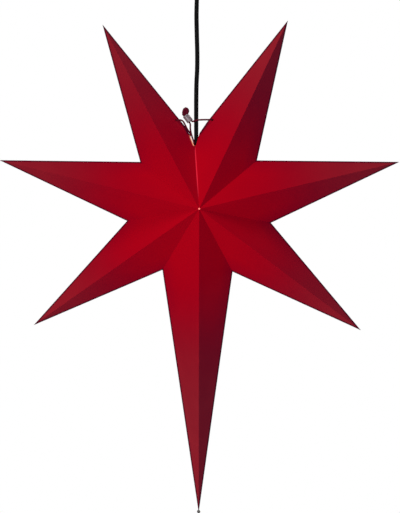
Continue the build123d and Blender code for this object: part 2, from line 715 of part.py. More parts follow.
# Two cores run from the cord's end to the holder's screws
wire_low = core_top + SCREW_HEAD
with BuildPart() as holder_wires:
    for side in (1, -1):
        with BuildLine() as wire:
            Line(
                (DOME.X + side * core_apart, 0, cord_end),
                (DOME.X + side * HOLDER_SCREW_SPACING / 2, 0, wire_low),
            )
        with BuildSketch(Plane(origin=wire.line @ 0, z_dir=wire.line % 0)):
            Circle(CORE_D / 2)
        sweep(path=wire.line)
    with BuildSketch(Plane.XY.offset(cord_end)):
        with Locations((DOME.X, 0)):
            Rectangle(CORD_D * 2, CORD_D * 2)
    extrude(amount=CORD_D, mode=Mode.SUBTRACT)
    with BuildSketch(Plane.XY.offset(wire_low)):
        with Locations((DOME.X, 0)):
            Rectangle(DOME_R * 2, CORD_D * 2)
    extrude(amount=-CORD_D, mode=Mode.SUBTRACT)
finish("holder_wires", holder_wires.part)

# The lamp, cap upwards
contact_top = button_low - FIT
insulator_top = contact_top - LAMP_CONTACT
lamp_cap_top = insulator_top - LAMP_INSULATOR
lamp_cap_low = lamp_cap_top - LAMP_CAP_LENGTH
cap_r = LAMP_CAP_D / 2
bulb_contact = turned([
    (0, contact_top),
    (LAMP_CONTACT_D / 3, contact_top),
    (LAMP_CONTACT_D / 2, insulator_top + LAMP_CONTACT / 3),
    (LAMP_CONTACT_D / 2, insulator_top),
    (0, insulator_top),
], DOME.X)
finish("bulb_contact", bulb_contact)

bulb_insulator = turned([
    (0, insulator_top),
    (LAMP_CONTACT_D / 2, insulator_top),
    (cap_r - LAMP_CAP_WALL, lamp_cap_top),
    (0, lamp_cap_top),
], DOME.X)
finish("bulb_insulator", bulb_insulator)

bulb_cap = turned([
    (0, lamp_cap_top),
    (cap_r, lamp_cap_top),
    (cap_r, lamp_cap_low),
    (cap_r - LAMP_CAP_WALL, lamp_cap_low),
    (cap_r - LAMP_CAP_WALL, lamp_cap_top - LAMP_CAP_WALL),
    (0, lamp_cap_top - LAMP_CAP_WALL),
], DOME.X)
finish("bulb_cap", bulb_cap)

neck_r = NECK_D / 2
ball_r = BALL_D / 2
neck_top = lamp_cap_low + NECK_SOCKET
ball_centre = lamp_cap_low - NECK_LENGTH - math.sqrt(ball_r**2 - neck_r**2)
neck_low = ball_centre + math.sqrt(ball_r**2 - neck_r**2)
ball_bore = ball_r - GLASS
neck_bore_r = neck_r - GLASS
neck_bore_low = ball_centre + math.sqrt(ball_bore**2 - neck_bore_r**2)
ball_side = (ball_r, ball_centre)
bore_side = (ball_bore, ball_centre)
with BuildPart() as bulb_globe:
    with BuildSketch(upright(DOME.X)):
        with BuildLine():
            Line((neck_bore_r, neck_top), (neck_r, neck_top))
            Line((neck_r, neck_top), (neck_r, neck_low))
            RadiusArc((neck_r, neck_low), ball_side, ball_r)
            RadiusArc(ball_side, (0, ball_centre - ball_r), ball_r)
            Line((0, ball_centre - ball_r), (0, ball_centre - ball_bore))
            RadiusArc((0, ball_centre - ball_bore), bore_side, -ball_bore)
            RadiusArc(bore_side, (neck_bore_r, neck_bore_low), -ball_bore)
            Line((neck_bore_r, neck_bore_low), (neck_bore_r, neck_top))
        make_face()
    revolve(axis=Axis((DOME.X, 0, 0), (0, 0, 1)))
finish("bulb_globe", bulb_globe.part)

stem_top = neck_top - NECK_SOCKET / 2
stem_low = stem_top - STEM_LENGTH
bulb_stem = turned([
    (0, stem_top),
    (neck_bore_r - SLIDE, stem_top),
    (neck_bore_r - SLIDE, stem_top - GLASS),
    (STEM_D / 2, stem_top - 4 * GLASS),
    (STEM_D / 2, stem_low),
    (0, stem_low),
], DOME.X)
finish("bulb_stem", bulb_stem)

lead_in = STEM_D / 4
filament_low = stem_low - FILAMENT_LENGTH
FILAMENT_ROUTE = [
    (DOME.X - lead_in, 0, stem_low),
    (DOME.X - lead_in, FILAMENT_BOW, stem_low - FILAMENT_LENGTH / 3),
    (DOME.X - FILAMENT_SPAN / 2, 0, stem_low - FILAMENT_LENGTH * 2 / 3),
    (DOME.X - FILAMENT_SPAN / 3, FILAMENT_BOW, filament_low),
    (DOME.X + FILAMENT_SPAN / 3, FILAMENT_BOW, filament_low),
    (DOME.X + FILAMENT_SPAN / 2, 0, stem_low - FILAMENT_LENGTH * 2 / 3),
    (DOME.X + lead_in, FILAMENT_BOW, stem_low - FILAMENT_LENGTH / 3),
    (DOME.X + lead_in, 0, stem_low),
]
finish("bulb_filament", tube("bulb_filament", FILAMENT_ROUTE, FILAMENT_D))

print(f"pivot {pivot:.3f}, dome {DOME.X:.3f} {DOME.Z:.3f}, lamp axis {DOME.X:.3f}, tip {tip.Z:.3f}")
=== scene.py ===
"""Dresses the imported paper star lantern: paper, cord, tie, lampholder, lamp and ceiling rose."""

import logging
import math
from dataclasses import dataclass
from enum import Enum
from typing import Any, Sequence

import bmesh
import bpy
from bpy.types import ID, Curve, Material, Mesh, Node, NodeSocket, NodeTree, Object
from mathutils import Matrix, Vector, noise


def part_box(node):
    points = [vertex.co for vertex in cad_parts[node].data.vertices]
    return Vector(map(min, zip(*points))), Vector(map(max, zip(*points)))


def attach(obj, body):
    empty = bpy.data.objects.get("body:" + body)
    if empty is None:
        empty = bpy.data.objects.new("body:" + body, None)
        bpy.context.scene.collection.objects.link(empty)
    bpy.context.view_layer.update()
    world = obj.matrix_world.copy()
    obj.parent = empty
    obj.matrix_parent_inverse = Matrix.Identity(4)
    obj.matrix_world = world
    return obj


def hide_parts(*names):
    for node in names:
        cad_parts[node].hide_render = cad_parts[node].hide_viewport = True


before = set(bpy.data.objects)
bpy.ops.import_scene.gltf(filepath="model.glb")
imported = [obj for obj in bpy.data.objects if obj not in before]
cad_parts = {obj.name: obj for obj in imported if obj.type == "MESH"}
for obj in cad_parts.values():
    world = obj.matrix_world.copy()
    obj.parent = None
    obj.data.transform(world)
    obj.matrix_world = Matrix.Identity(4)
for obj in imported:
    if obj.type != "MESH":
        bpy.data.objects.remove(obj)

log = logging.getLogger("paper_star")

Triple = tuple[float, float, float]
Span = tuple[float, float]

MM = 0.001

# The star's layout, as in the solids: metres, angles clockwise from straight up
CENTRE = Vector((2.0, 0.0, -370.0)) * MM
HALF_DEPTH = 80.0 * MM
VALLEY = 105.0 * MM
CLOSING_VALLEY = 97.5 * MM
CLOSING_SEAM = 356.0
REACH = 292.0 * MM
LONG_REACH = 442.0 * MM
LAMP_CENTRE = Vector((-2.2, 0.0, -382.5)) * MM
MOUTH_FLOOR = Vector((-5.87, 0.0, -283.21)) * MM
LEFT_LIP = Vector((-15.51, 0.0, -259.54)) * MM
RIGHT_LIP = Vector((13.58, 0.0, -249.67)) * MM
NOTCH = Vector((2.53, 0.0, -265.79)) * MM
NO_DISTANCE_MM = 999.0

# Distances at which corners of a mesh count as one, and as lying on a cut, in metres
WELD = 1e-6
ON_CUT = 1e-7

# Ranges of a Map Range node: where most of a noise pattern lies, and a fall from all to nothing
MOST_NOISE = {"From Min": 0.2, "From Max": 0.8}
FALLING = {"To Min": 1.0, "To Max": 0.0}


class Body(Enum):
    """The bodies that pieces ride on."""

    CEILING = "ceiling"
    LANTERN = "lantern"
    BULB = "bulb"


class Half(Enum):
    """The two halves of a point, seen from the front with its tip up."""

    LEFT = -1
    RIGHT = 1


class Mark(Enum):
    """What the paper's mesh holds at its corners for the finish to read."""

    FOLD = "fold_mm"
    SLIT = "slit_mm"
    LIP = "lip_mm"
    INNER = "inner"


def linear(code: str) -> tuple[float, float, float, float]:
    """Turns an sRGB hex code into a linear colour.

    Args:
        code: Six hex digits after a hash sign.

    Returns:
        Linear red, green and blue, with a full alpha.
    """
    channels = [int(code[i:i + 2], 16) / 255 for i in (1, 3, 5)]
    red, green, blue = (c / 12.92 if c <= 0.04045 else ((c + 0.055) / 1.055) ** 2.4
                        for c in channels)
    return red, green, blue, 1.0


def spot(angle: float, radius: float) -> Vector:
    """Gives a place in the star's middle plane.

    Args:
        angle: Degrees clockwise from straight up.
        radius: Metres from the star's middle.

    Returns:
        The point in the shared frame.
    """
    turn = math.radians(angle)
    return CENTRE + Vector((radius * math.sin(turn), 0.0, radius * math.cos(turn)))


def square_to(angle: float) -> Vector:
    """Gives the direction square to a line from the star's middle, clockwise of it."""
    return spot(angle + 90, 1.0) - CENTRE


def from_line(place: Vector, start: Vector, end: Vector) -> float:
    """Gives the distance of a place to a straight line between two points, seen from the front.

    Args:
        place: The place.
        start: One end of the line.
        end: The other end.

    Returns:
        The distance in millimetres.
    """
    flat = Vector((place.x, 0.0, place.z))
    run = end - start
    share = min(1.0, max(0.0, (flat - start).dot(run) / run.length_squared))
    return (flat - start - run * share).length / MM


def in_metres(points: Sequence[Triple]) -> list[Vector]:
    """Turns a route in millimetres into metres."""
    return [Vector(p) * MM for p in points]


def looking_at(target: Vector, away: Vector) -> Matrix:
    """Places a camera or a lamp so that it looks at a target.

    Args:
        target: What it looks at.
        away: The way from there to the camera or lamp.

    Returns:
        Its place and turn.
    """
    turned = away.to_track_quat("Z", "Y").to_matrix().to_4x4()
    return Matrix.Translation(target + away) @ turned


def feed(tree: NodeTree, node: Node, inputs: dict[int | str, Any]) -> None:
    """Sets or links inputs of a node.

    Args:
        tree: The node tree.
        node: The node.
        inputs: Values, sockets or nodes by input number, or by name among the inputs that are in
            use. A node stands for its first output in use.
    """
    for key, value in inputs.items():
        named = [socket for socket in node.inputs if socket.enabled and socket.name == key]
        target = named[0] if named else node.inputs[key]
        if isinstance(value, Node):
            value = next(socket for socket in value.outputs if socket.enabled)
        if isinstance(value, NodeSocket):
            tree.links.new(value, target)
        else:
            target.default_value = value


def add(tree: NodeTree, kind: str, inputs: dict[int | str, Any] | None = None,
        **settings: Any) -> Node:
    """Adds a node to a tree, with its settings, values and links.

    Args:
        tree: The node tree.
        kind: The node's type.
        inputs: What its inputs are fed.
        **settings: Properties of the node itself.

    Returns:
        The new node.
    """
    node = tree.nodes.new(kind)
    for key, value in settings.items():
        setattr(node, key, value)
    feed(tree, node, inputs or {})
    return node


def new_material(name: str) -> tuple[Material, NodeTree, Node, NodeSocket]:
    """Starts a node material.

    Args:
        name: The material's name.

    Returns:
        The material, its tree, its shader and the socket with object coordinates.
    """
    material = bpy.data.materials.new(name)
    material.use_nodes = True
    tree = material.node_tree
    place = add(tree, "ShaderNodeTexCoord").outputs["Object"]
    return material, tree, tree.nodes["Principled BSDF"], place


def put(name: str, data: ID) -> Object:
    """Puts a new object into the scene.

    Args:
        name: The object's name.
        data: Its mesh, curve, lamp or camera.

    Returns:
        The object.
    """
    made = bpy.data.objects.new(name, data)
    bpy.context.scene.collection.objects.link(made)
    return made


def new_piece(name: str, data: ID, body: Body, slot: str, *replaced: str) -> Object:
    """Puts a finished piece on its body.

    Args:
        name: The piece's name.
        data: Its mesh or curve.
        body: The body that it rides on.
        slot: A material slot's name; not used.
        *replaced: Plain nodes that it stands for.

    Returns:
        The piece.
    """
    piece = put(name, data)
    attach(piece, body.value)
    if replaced:
        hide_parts(*replaced)
    return piece


def dress_nodes(material: Material, *nodes: str) -> None:
    """Gives plain nodes that keep their own shape a finish.

    Args:
        material: The finish.
        *nodes: The nodes' names.
    """
    for name in nodes:
        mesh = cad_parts[name].data
        mesh.materials.clear()
        mesh.materials.append(material)
        log.info("%s is %s", name, material.name)


def smooth_curve(name: str, points: Sequence[Vector]) -> Curve:
    """Makes a curve with one smooth open spline.

    Args:
        name: The curve's name.
        points: Its control points, in metres.

    Returns:
        The curve, with no thickness yet.
    """
    curve = bpy.data.curves.new(name, "CURVE")
    curve.dimensions = "3D"
    curve.resolution_u = 10
    spline = curve.splines.new("NURBS")
    spline.points.add(len(points) - 1)
    for control, point in zip(spline.points, points):
        control.co = (*point, 1.0)
    spline.order_u = 3
    spline.use_endpoint_u = True
    return curve


def plain_mesh(name: str, maker: Object) -> Mesh:
    """Turns what an object makes into a plain mesh and removes the object.

    Args:
        name: The new mesh's name.
        maker: The object.

    Returns:
        The plain mesh.
    """
    made = maker.evaluated_get(bpy.context.evaluated_depsgraph_get())
    mesh = bpy.data.meshes.new_from_object(made)
    maker.modifiers.clear()
    bpy.data.objects.remove(maker)
    mesh.name = name
    return mesh


def grow(name: str, seed: Mesh, tree: NodeTree, sizes: dict[str, Any]) -> Mesh:
    """Runs a geometry tree once and keeps its result as a plain mesh.

    Args:
        name: The new mesh's name.
        seed: The mesh that the tree starts from.
        tree: The geometry tree.
        sizes: Values of the tree's named inputs.

    Returns:
        The plain mesh.
    """
    maker = put(name + "_maker", seed)
    modifier = maker.modifiers.new("grow", "NODES")
    modifier.node_group = tree
    for item in tree.interface.items_tree:
        if item.name in sizes and item.in_out == "INPUT":
            modifier[item.identifier] = sizes[item.name]
    return plain_mesh(name, maker)


def start_geometry(name: str, inputs: dict[str, str]) -> tuple[NodeTree, dict[str, NodeSocket]]:
    """Starts a geometry tree.

    Args:
        name: The tree's name.
        inputs: Kinds of socket by input name, after the geometry.

    Returns:
        The tree, and the sockets that give its inputs, by name.
    """
    tree = bpy.data.node_groups.new(name, "GeometryNodeTree")
    tree.interface.new_socket("Geometry", in_out="OUTPUT", socket_type="NodeSocketGeometry")
    tree.interface.new_socket("Geometry", in_out="INPUT", socket_type="NodeSocketGeometry")
    for key, kind in inputs.items():
        tree.interface.new_socket(key, in_out="INPUT", socket_type="NodeSocket" + kind)
    given = add(tree, "NodeGroupInput").outputs
    return tree, {socket.name: socket for socket in given if socket.name}


def end_geometry(tree: NodeTree, shape: Node, material: NodeSocket) -> NodeTree:
    """Ends a geometry tree in a plain smooth mesh of one material.

    Args:
        tree: The geometry tree.
        shape: The node that gives the shape.
        material: The input that gives the material.

    Returns:
        The tree.
    """
    real = add(tree, "GeometryNodeRealizeInstances", {"Geometry": shape})
    smooth = add(tree, "GeometryNodeSetShadeSmooth", {"Geometry": real})
    dressed = add(tree, "GeometryNodeSetMaterial", {"Geometry": smooth, "Material": material})
    add(tree, "NodeGroupOutput", {"Geometry": dressed})
    return tree


@dataclass(frozen=True)
class DyedPaper:
    """Dyed uncoated paper, folded and lit from behind by a weak lamp.

    It has no gloss. Near the lamp the light that comes through is painted in, as a purer red in the
    colour and as emission, and the tips stay dull.
    The folds round the outline, where two layers lie on each other, stay dark, with painted shade
    along them.
    """

    name: str = "dyed_red_paper"
    # The dye with painted lamplight near the lamp, and far from it, its clouds and flecks, and the
    # dark fold with its painted shade
    near: str = "#980008"
    far: str = "#902123"
    cloud: str = "#7A0008"
    fleck: str = "#B0000C"
    fold: str = "#2C050B"
    # Painted light, as emission of the paper: the least light, and the lamp's through the paper, in
    # the slit, on the lip and inside
    least_painted_light: str = "#000016"
    glow: str = "#590010"
    leak: str = "#BE2238"
    lip: str = "#F4A684"
    inside: str = "#C42A40"
    # Distances from the lamp over which the dye's painted lamplight goes dull and the painted glow
    # fades, outside and inside
    lamplit_fade_mm: Span = (100.0, 300.0)
    glow_mm: Span = (60.0, 205.0)
    inside_mm: Span = (50.0, 160.0)
    inside_rest: float = 0.05
    # Distances over which the dark fold with its painted shade, the double paper beside it, the
    # slit and the lip end
    fold_mm: Span = (1.35, 4.05)
    fold_share: float = 0.85
    ragged_mm: float = 0.25
    double_mm: float = 30.0
    double_share: float = 0.45
    slit_mm: Span = (0.6, 0.85)
    lip_mm: Span = (0.7, 1.5)
    # Heights over the star's middle at which the slit's painted light starts and sinks and the
    # lip's ends
    slit_start_mm: Span = (12.0, 44.0)
    slit_sink_mm: Span = (64.0, 92.0)
    slit_rest: float = 0.5
    lip_end_mm: Span = (97.0, 102.0)
    # Real fibres are finer; these are as coarse as they need to be to show
    fibre_mm: float = 0.9
    fleck_band: Span = (0.4, 0.8)
    fleck_share: float = 0.14
    cloud_mm: float = 38.0
    cloud_band: Span = (0.3, 0.7)
    cloud_share: float = 0.18
    roughness: Span = (0.82, 0.95)
    specular: float = 0.02
    bump: float = 0.12
    relief_mm: float = 0.2

    def build(self) -> Material:
        """Makes the material.

        Returns:
            A node material that reads the distances to the folds from the mesh.
        """
        material, tree, shader, place = new_material(self.name)
        away = add(tree, "ShaderNodeVectorMath", {0: place, 1: LAMP_CENTRE}, operation="DISTANCE")
        fibres = add(tree, "ShaderNodeTexNoise", {
            "Vector": place, "Scale": 1 / (self.fibre_mm * MM), "Detail": 5.0, "Roughness": 0.7})
        from_fold = add(tree, "ShaderNodeAttribute", attribute_name=Mark.FOLD.value).outputs["Fac"]
        ragged = add(tree, "ShaderNodeMapRange", {
            "Value": fibres, **MOST_NOISE, "To Min": -self.ragged_mm, "To Max": self.ragged_mm})
        # The dark fold: a double layer that lets no light through, and painted shade where the edge
        # turns from the light
        at_fold = add(tree, "ShaderNodeMapRange", {
            "Value": add(tree, "ShaderNodeMath", {0: from_fold, 1: ragged}, operation="ADD"),
            "From Min": self.fold_mm[0], "From Max": self.fold_mm[1],
            "To Min": self.fold_share, "To Max": 0.0})
        rough = add(tree, "ShaderNodeMapRange", {
            "Value": fibres, **MOST_NOISE,
            "To Min": self.roughness[0], "To Max": self.roughness[1]})
        relief = add(tree, "ShaderNodeBump", {
            "Strength": self.bump, "Distance": self.relief_mm * MM, "Height": fibres})
        feed(tree, shader, {
            "Base Color": self._dye(tree, place, away, fibres, at_fold),
            "Emission Color": self._light(tree, place, away, from_fold, at_fold),
            "Emission Strength": 1.0, "Roughness": rough, "Normal": relief,
            "Specular IOR Level": self.specular})
        return material

    def _dye(self, tree: NodeTree, place: NodeSocket, away: Node, fibres: Node,
             at_fold: Node) -> Node:
        """Mixes the dye's colours.

        Args:
            tree: The material's tree.
            place: Object coordinates.
            away: The distance from the lamp.
            fibres: The fibres' pattern.
            at_fold: The share of the dark fold, with its painted shade.

        Returns:
            The node that gives the colour.
        """
        # Painted lamplight: the colour goes from the lit red near the lamp to the dull red far from
        # it
        dull = add(tree, "ShaderNodeMapRange", {
            "Value": away, "From Min": self.lamplit_fade_mm[0] * MM, "From Max": self.lamplit_fade_mm[1] * MM},
            interpolation_type="SMOOTHSTEP")
        clouds = add(tree, "ShaderNodeTexNoise", {
            "Vector": place, "Scale": 1 / (self.cloud_mm * MM), "Detail": 3.0})
        clouded = add(tree, "ShaderNodeMapRange", {
            "Value": clouds, "From Min": self.cloud_band[0], "From Max": self.cloud_band[1],
            "To Max": self.cloud_share})
        flecked = add(tree, "ShaderNodeMapRange", {
            "Value": fibres, "From Min": self.fleck_band[0], "From Max": self.fleck_band[1],
            "To Max": self.fleck_share})
        colour: Any = linear(self.near)
        for share, other in ((dull, self.far), (clouded, self.cloud), (flecked, self.fleck),
                             (at_fold, self.fold)):
            colour = add(tree, "ShaderNodeMix", {
                "Factor": share, "A": colour, "B": linear(other)}, data_type="RGBA")
        return colour

    def _light(self, tree: NodeTree, place: NodeSocket, away: Node, from_fold: NodeSocket,
               at_fold: Node) -> Node:
        """Mixes the painted light, as emission, for the lamp's light through the paper, in the
        slit, on the mouth's lip and inside.

        Args:
            tree: The material's tree.
            place: Object coordinates.
            away: The distance from the lamp.
            from_fold: The distance to the fold, in millimetres.
            at_fold: The share of the dark fold, with its painted shade.

        Returns:
            The node that gives the light.
        """
        slit, lip, inner = (
            add(tree, "ShaderNodeAttribute", attribute_name=mark.value).outputs["Fac"]
            for mark in (Mark.SLIT, Mark.LIP, Mark.INNER))
        near = add(tree, "ShaderNodeMapRange", {
            "Value": away, "From Min": self.glow_mm[0] * MM, "From Max": self.glow_mm[1] * MM,
            **FALLING}, interpolation_type="SMOOTHSTEP")
        layers = add(tree, "ShaderNodeMapRange", {
            "Value": from_fold, "From Max": self.double_mm, "To Min": self.double_share})
        single = add(tree, "ShaderNodeMath", {0: 1.0, 1: at_fold}, operation="SUBTRACT")
        at_slit, at_lip = (
            add(tree, "ShaderNodeMapRange", {
                "Value": distance, "From Min": start, "From Max": end, **FALLING})
            for distance, (start, end) in (
                (add(tree, "ShaderNodeMath", {0: slit}, operation="ABSOLUTE"), self.slit_mm),
                (lip, self.lip_mm)))
        height = add(tree, "ShaderNodeSeparateXYZ", {0: place}).outputs["Z"]
        starting, sinking, low = (
            add(tree, "ShaderNodeMapRange", {
                "Value": height, "From Min": CENTRE.z + start * MM, "From Max": CENTRE.z + end * MM,
                "To Min": below, "To Max": above})
            for (start, end), below, above in (
                (self.slit_start_mm, 0.0, 1.0), (self.slit_sink_mm, 1.0, self.slit_rest),
                (self.lip_end_mm, 1.0, 0.0)))
        close = add(tree, "ShaderNodeMapRange", {
            "Value": away, "From Min": self.inside_mm[0] * MM, "From Max": self.inside_mm[1] * MM,
            "To Min": 1.0, "To Max": self.inside_rest})

        light: Any = linear(self.least_painted_light)
        for colour, (share, *others) in (
                (self.glow, (near, layers, single)), (self.leak, (at_slit, starting, sinking)),
                (self.lip, (at_lip, low)), (self.inside, (inner, close))):
            for other in others:
                share = add(tree, "ShaderNodeMath", {0: share, 1: other}, operation="MULTIPLY")
            light = add(tree, "ShaderNodeMix", {
                "Factor": share, "A": light, "B": linear(colour)}, data_type="RGBA")
        return light


@dataclass(frozen=True)
class Finish:
    """What most finishes share: a grain in the gloss and patches of a second colour."""

    name: str
    colour: str
    patch: str
    roughness: float = 0.5
    # How far the grain takes the roughness down and up
    spread: Span = (0.88, 1.1)
    grain_mm: float = 0.5
    grain_detail: float = 3.0
    grain_stretch: Triple = (1.0, 1.0, 1.0)
    patch_mm: float = 11.0
    patch_detail: float = 5.0
    patch_band: Span = (0.45, 0.75)
    # The relief's strength, its depth as a share of the grain, and whether it follows the patches
    bump: float = 0.1
    depth: float = 0.3
    rippled: bool = False

    def build(self) -> Material:
        """Makes the material.

        Returns:
            A node material of this finish.
        """
        material, tree, shader, place = new_material(self.name)
        laid = add(tree, "ShaderNodeMapping", {"Vector": place, "Scale": self.grain_stretch})
        grain = add(tree, "ShaderNodeTexNoise", {
            "Vector": laid, "Scale": 1 / (self.grain_mm * MM), "Detail": self.grain_detail})
        patches = add(tree, "ShaderNodeTexNoise", {
            "Vector": place, "Scale": 1 / (self.patch_mm * MM), "Detail": self.patch_detail})
        patchy = add(tree, "ShaderNodeMapRange", {
            "Value": patches, "From Min": self.patch_band[0], "From Max": self.patch_band[1]})
        colour = add(tree, "ShaderNodeMix", {
            "Factor": patchy, "A": linear(self.colour), "B": linear(self.patch)}, data_type="RGBA")
        rough = add(tree, "ShaderNodeMapRange", {
            "Value": grain, **MOST_NOISE, "To Min": self.roughness * self.spread[0],
            "To Max": self.roughness * self.spread[1]})
        relief = add(tree, "ShaderNodeBump", {
            "Strength": self.bump, "Distance": self.grain_mm * MM * self.depth,
            "Height": patches if self.rippled else grain})
        feed(tree, shader, {"Base Color": colour, "Roughness": rough, "Normal": relief})
        self._add_own(tree, shader, patchy)
        return material

    def _add_own(self, tree: NodeTree, shader: Node, patchy: Node) -> None:
        """Adds what only one kind of finish has, which is nothing here.

        Args:
            tree: The material's tree.
            shader: Its shader.
            patchy: The share of the second colour.
        """


@dataclass(frozen=True)
class Moulded(Finish):
    """A moulded or pressed surface, such as ABS, PVC, rubber or steatite.

    It has the fine even grain of a spark-eroded mould, drawn coarse enough to show, and faint
    handling marks.
    """

    ior: float = 1.5
    specular: float = 0.5

    def _add_own(self, tree: NodeTree, shader: Node, patchy: Node) -> None:
        """Sets how it mirrors."""
        feed(tree, shader, {"IOR": self.ior, "Specular IOR Level": self.specular})


@dataclass(frozen=True)
class WorkedMetal(Finish):
    """Drawn, stamped or turned metal: fine lines round the axis and patches that have gone dull."""

    roughness: float = 0.3
    spread: Span = (0.7, 1.3)
    grain_mm: float = 0.35
    grain_detail: float = 2.0
    # Tool lines run level, so the grain is stretched along X and Y
    grain_stretch: Triple = (0.06, 0.06, 1.0)
    patch_mm: float = 7.0
    patch_band: Span = (0.4, 0.72)
    bump: float = 0.12
    depth: float = 1 / 7

    def _add_own(self, tree: NodeTree, shader: Node, patchy: Node) -> None:
        """Makes it a metal."""
        feed(tree, shader, {"Metallic": 1.0})


@dataclass(frozen=True)
class Glassy(Finish):
    """Glass or clear resin: smooth, with a faint ripple; frosted or lit where it says so."""

    roughness: float = 0.08
    spread: Span = (0.8, 1.2)
    grain_mm: float = 0.4
    patch_mm: float = 4.0
    patch_detail: float = 2.0
    patch_band: Span = (0.35, 0.7)
    bump: float = 0.05
    depth: float = 0.5
    rippled: bool = True
    transmission: float = 0.9
    ior: float = 1.5
    glow: str = "#000000"
    glow_patch: str = "#000000"
    glow_strength: float = 0.0

    def _add_own(self, tree: NodeTree, shader: Node, patchy: Node) -> None:
        """Makes it clear and lets it glow.

        Args:
            tree: The material's tree.
            shader: Its shader.
            patchy: The share of the second colour.
        """
        glow = add(tree, "ShaderNodeMix", {
            "Factor": patchy, "A": linear(self.glow), "B": linear(self.glow_patch)},
            data_type="RGBA")
        feed(tree, shader, {
            "Transmission Weight": self.transmission, "IOR": self.ior,
            "Emission Color": glow, "Emission Strength": self.glow_strength})


@dataclass(frozen=True)
class TwistedYarn:
    """Dyed cotton yarn: matt, with a soft bloom of loose fibres and uneven dye."""

    name: str = "dyed_cotton_yarn"
    colour: str = "#320510"
    light: str = "#8E1236"
    light_share: float = 0.7
    fibre_mm: float = 0.35
    fibre_band: Span = (0.4, 0.75)
    roughness: float = 0.85
    specular: float = 0.05
    sheen: float = 0.02
    bump: float = 0.5
    relief_mm: float = 0.1

    def build(self) -> Material:
        """Makes the material.

        Returns:
            A node material of this finish.
        """
        material, tree, shader, place = new_material(self.name)
        fibres = add(tree, "ShaderNodeTexNoise", {
            "Vector": place, "Scale": 1 / (self.fibre_mm * MM), "Detail": 4.0})
        share = add(tree, "ShaderNodeMapRange", {
            "Value": fibres, "From Min": self.fibre_band[0], "From Max": self.fibre_band[1],
            "To Max": self.light_share})
        colour = add(tree, "ShaderNodeMix", {
            "Factor": share, "A": linear(self.colour), "B": linear(self.light)}, data_type="RGBA")
        relief = add(tree, "ShaderNodeBump", {
            "Strength": self.bump, "Distance": self.relief_mm * MM, "Height": fibres})
        feed(tree, shader, {
            "Base Color": colour, "Normal": relief, "Roughness": self.roughness,
            "Specular IOR Level": self.specular, "Sheen Weight": self.sheen})
        return material


